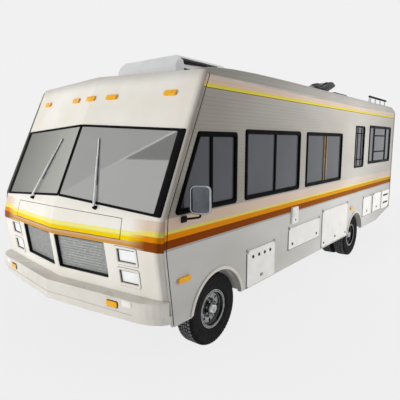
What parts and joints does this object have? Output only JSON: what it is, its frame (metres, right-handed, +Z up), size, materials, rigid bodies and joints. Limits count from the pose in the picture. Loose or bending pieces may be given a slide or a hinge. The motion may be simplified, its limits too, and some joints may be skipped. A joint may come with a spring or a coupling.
{
  "type": "class a camper truck",
  "caption": "Boxy camper truck with a raked split windscreen, hollow coach body on a ladder frame, hinged storage hatches and entry door, steered front wheels and twin rear wheels.",
  "frame": {"origin": "on the ground under the middle of the whole coach", "axes": "+Z up, front towards -Y, the driver's left side towards +X"},
  "size_m": [2.9874, 7.3, 2.855],
  "materials": {
    "coach_paint": "gloss off-white enamel",
    "front_gelcoat": "moulded glass-fibre, gloss off-white",
    "roof_paint": "satin light grey",
    "hatch_paint": "gloss white",
    "chassis_paint": "satin black",
    "bumper_paint": "gloss cream",
    "bare_steel": "machined",
    "wheel_chrome": "polished",
    "alu_tube": "satin",
    "tinted_glass": "grey tint",
    "lamp_glass": "clear fluted",
    "amber_lens": "clear amber",
    "red_lens": "clear red",
    "black_rubber": "matt",
    "black_plastic": "matt",
    "window_alloy": "black anodised",
    "shroud_plastic": "white shroud",
    "smoked_plastic": "smoked",
    "cab_vinyl": "grained",
    "seat_fabric": "woven brown",
    "floor_board": "plywood, painted under",
    "tank_steel": "grey",
    "cast_parts": "as cast",
    "exhaust_steel": "heat-browned",
    "tyre_rubber": "matt black"
  },
  "bodies": {
    "coach": {"frame_rails": "chassis_paint", "floor_deck": "floor_board", "front_cap": "front_gelcoat", "wall_left": "coach_paint", "wall_right": "coach_paint", "rear_wall": "coach_paint", "roof_panel": "roof_paint", "windscreen": "tinted_glass", "windscreen_gasket": "black_rubber", "window_glass": "tinted_glass", "window_frames": "window_alloy", "service_panel": "front_gelcoat", "grille": "black_plastic", "headlamps": "lamp_glass", "marker_lamps": "amber_lens", "tail_lamps": "red_lens", "front_bumper": "bumper_paint", "rear_bumper": "bumper_paint", "mirrors": "wheel_chrome", "wipers": "black_plastic", "roof_air_conditioner": "shroud_plastic", "roof_vents": "black_plastic", "roof_rack": "alu_tube", "rear_ladder": "alu_tube", "dashboard": "cab_vinyl", "seat_pedestals": "chassis_paint", "seat_cushions": "seat_fabric", "steering_wheel": "black_plastic", "engine_block": "cast_parts", "front_axle": "chassis_paint", "rear_axle": "chassis_paint", "drive_shaft": "bare_steel", "fuel_tank": "tank_steel", "exhaust": "exhaust_steel", "lockers": "hatch_paint", "stepwell": "floor_board", "arch_liners": "bumper_paint", "wall_hinges": "bare_steel", "side_fittings": "hatch_paint"},
    "entry_door": {"entry_door": "coach_paint", "entry_door_glass": "tinted_glass"},
    "roof_vent_lid": {"roof_vent_lid": "smoked_plastic"},
    "hatch_left_1": {"hatch_left_1": "hatch_paint"},
    "hatch_left_2": {"hatch_left_2": "hatch_paint"},
    "hatch_left_3": {"hatch_left_3": "hatch_paint"},
    "hatch_left_4": {"hatch_left_4": "hatch_paint"},
    "hatch_left_5": {"hatch_left_5": "hatch_paint"},
    "hatch_right_1": {"hatch_right_1": "hatch_paint"},
    "knuckle_left": {"knuckle_left": "cast_parts"},
    "front_wheel_left": {"wheel_front_left": "wheel_chrome", "tyre_front_left": "tyre_rubber"},
    "rear_wheels_left": {"wheel_rear_left": "wheel_chrome", "tyre_rear_left": "tyre_rubber"},
    "knuckle_right": {"knuckle_right": "cast_parts"},
    "front_wheel_right": {"wheel_front_right": "wheel_chrome", "tyre_front_right": "tyre_rubber"},
    "rear_wheels_right": {"wheel_rear_right": "wheel_chrome", "tyre_rear_right": "tyre_rubber"}
  },
  "joints": [
    {"name": "steer_left", "type": "hinge", "parent": "coach", "child": "knuckle_left", "pos_m": [1.075, -2.65, 0.35], "axis": [0, 0, 1], "range_deg": [-35, 35]},
    {"name": "steer_right", "type": "hinge", "parent": "coach", "child": "knuckle_right", "pos_m": [-1.075, -2.65, 0.35], "axis": [0, 0, 1], "range_deg": [-35, 35]},
    {"name": "spin_front_left", "type": "hinge", "parent": "knuckle_left", "child": "front_wheel_left", "pos_m": [1.135, -2.65, 0.35], "axis": [1, 0, 0], "continuous": true},
    {"name": "spin_rear_left", "type": "hinge", "parent": "coach", "child": "rear_wheels_left", "pos_m": [1.135, 1.27, 0.35], "axis": [1, 0, 0], "continuous": true},
    {"name": "spin_front_right", "type": "hinge", "parent": "knuckle_right", "child": "front_wheel_right", "pos_m": [-1.135, -2.65, 0.35], "axis": [1, 0, 0], "continuous": true},
    {"name": "spin_rear_right", "type": "hinge", "parent": "coach", "child": "rear_wheels_right", "pos_m": [-1.135, 1.27, 0.35], "axis": [1, 0, 0], "continuous": true},
    {"name": "entry_door_hinge", "type": "hinge", "parent": "coach", "child": "entry_door", "pos_m": [-1.288, -1.982, 1.35], "axis": [0, 0, 1], "range_deg": [0, 110]},
    {"name": "hatch_left_1_hinge", "type": "hinge", "parent": "coach", "child": "hatch_left_1", "pos_m": [1.29, -1.8675, 0.815], "axis": [0, -1, 0], "range_deg": [0, 100]},
    {"name": "hatch_left_2_hinge", "type": "hinge", "parent": "coach", "child": "hatch_left_2", "pos_m": [1.29, -0.7585, 0.892], "axis": [0, -1, 0], "range_deg": [0, 100]},
    {"name": "hatch_left_3_hinge", "type": "hinge", "parent": "coach", "child": "hatch_left_3", "pos_m": [1.29, 0.328, 0.96], "axis": [0, -1, 0], "range_deg": [0, 100]},
    {"name": "hatch_left_4_hinge", "type": "hinge", "parent": "coach", "child": "hatch_left_4", "pos_m": [1.29, 1.885, 0.946], "axis": [0, -1, 0], "range_deg": [0, 100]},
    {"name": "hatch_left_5_hinge", "type": "hinge", "parent": "coach", "child": "hatch_left_5", "pos_m": [1.29, 2.4975, 0.953], "axis": [0, -1, 0], "range_deg": [0, 100]},
    {"name": "hatch_right_1_hinge", "type": "hinge", "parent": "coach", "child": "hatch_right_1", "pos_m": [-1.29, -0.25, 0.9], "axis": [0, 1, 0], "range_deg": [0, 100]},
    {"name": "roof_vent_lid_hinge", "type": "hinge", "parent": "coach", "child": "roof_vent_lid", "pos_m": [0.82, 0.342, 2.635], "axis": [1, 0, 0], "range_deg": [-19, 45]}
  ],
  "couplings": [
    {"joint": "steer_right", "follows": "steer_left", "ratio": 1}
  ]
}
